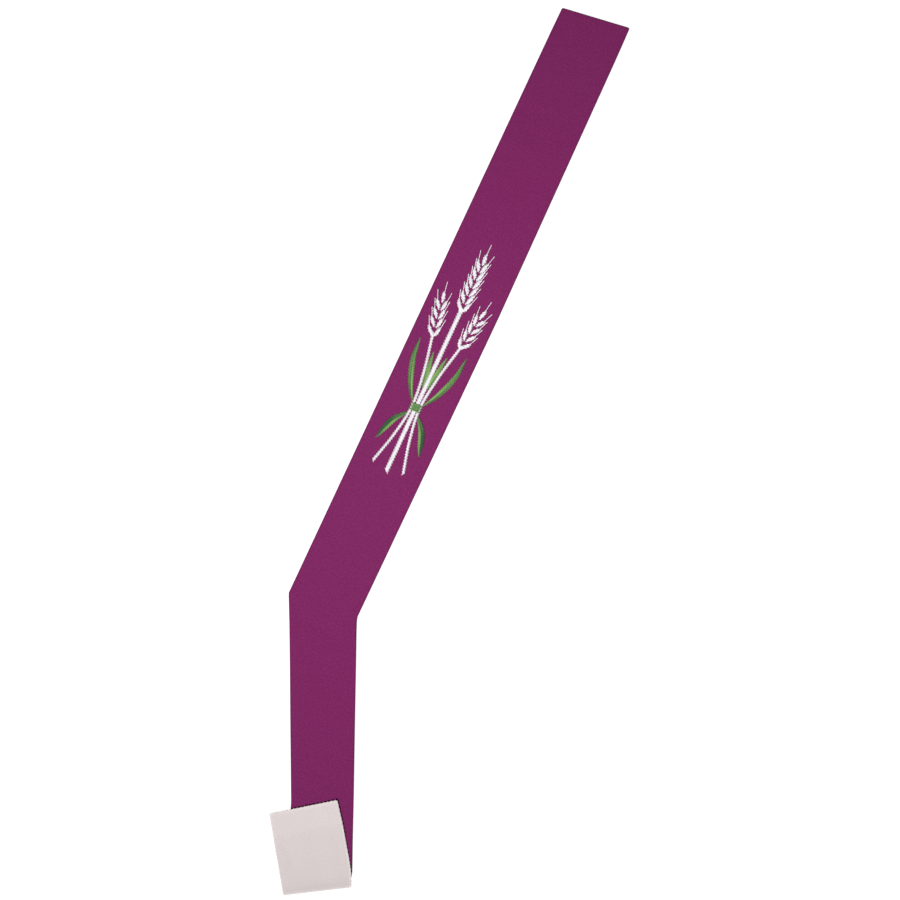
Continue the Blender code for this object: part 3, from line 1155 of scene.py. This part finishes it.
def set_light():
    world = bpy.data.worlds.new("studio")
    world.use_nodes = True
    world.node_tree.nodes["Background"].inputs["Color"].default_value = (1.0, 1.0, 1.0, 1.0)
    world.node_tree.nodes["Background"].inputs["Strength"].default_value = WORLD_LIGHT
    bpy.context.scene.world = world
    add_area_light(
        "softbox", SOFTBOX_PLACE, SOFTBOX_SIZE, SOFTBOX_POWER, SOFTBOX_SPREAD, SOFTBOX_TARGET
    )
    bpy.context.scene.view_settings.view_transform = "Standard"
    bpy.context.scene.view_settings.look = "None"


# ---------------------------------------------------------------- the pieces

set_camera()
set_floor()
set_light()

WEAVE = weave_group()
PURPLE_DARK, PURPLE_LIGHT = (0.1585, 0.0104, 0.0910), (0.2355, 0.0254, 0.1328)
CREAM_DARK, CREAM_LIGHT = (0.676, 0.603, 0.599), (0.764, 0.687, 0.680)
PLAIN = (1.0, 1.0, 1.0)

# The purple's darker first tone is the painted shade along its turned edges.
purple = woven_cloth(
    "purple cloth", WEAVE, PURPLE_DARK, PURPLE_LIGHT, ((0.86, 0.70, 0.86), PLAIN),
    thread=0.00045, depth=0.00012, roughness=0.85, gloss=0.12, sheen=0.0,
)
# The cream's lighter second tone is the doubled hem and rim, and on the rim also a painted
# highlight.
cream = woven_cloth(
    "cream lining cloth", WEAVE, CREAM_DARK, CREAM_LIGHT, (PLAIN, (1.26, 1.27, 1.26)),
    thread=0.00030, depth=0.00005, roughness=0.6, gloss=0.25, sheen=0.05,
)
# The white thread's darker end is a lilac grey, the colour of its painted shade between raised
# stitches.
white_thread = thread_material("white thread", (0.82, 0.79, 0.85), (0.985, 0.965, 0.985), 0.45)
green_thread = thread_material("green thread", (0.026, 0.125, 0.046), (0.300, 0.540, 0.150), 0.45)
cream_thread = thread_material("cream thread", (0.84, 0.79, 0.74), (0.96, 0.93, 0.90), 0.5)
purple_thread = thread_material("purple thread", (0.120, 0.008, 0.070), (0.200, 0.015, 0.110), 0.5)

WHITE_STITCHES, GREEN_STITCHES = wheat_motif()
face = lay_cloth("face_cloth", FACE, 0.003, 28, True, face_relief, painted_edge_shade, end_inset=0.0004)
thicken(face, FACE)
face.data.materials.append(purple)
lining = lay_cloth("lining_cloth", LINING, 0.003, 28, True, lining_relief, lining_doubling_and_rim_highlight)
thicken(lining, LINING)
lining.data.materials.append(cream)
back = lay_cloth("back_cloth", BACK, 0.008, 12, False, flat_relief, painted_edge_shade, end_inset=0.0015)
thicken(back, BACK)
back.data.materials.append(purple)

white = sew("white_embroidery", WHITE_STITCHES, face, SATIN_THREAD, white_thread)
green = sew("green_embroidery", GREEN_STITCHES, face, SATIN_THREAD, green_thread)
overcast = overcast_end(cream_thread)
hem = sew_hem(lining, cream_thread)
shoulder = sew_shoulder(purple_thread)
for piece, slot in (
    (white, "face_cloth"),
    (green, "face_cloth"),
    (overcast, "lining"),
    (hem, "lining"),
    (shoulder, "face_cloth"),
):
    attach(piece, "root")

for piece, node, slot in (
    (face, "front_face", "face_cloth"),
    (lining, "front_lining", "lining"),
    (back, "back_panel", "back_cloth"),
):
    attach(piece, "root")
    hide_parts(node)
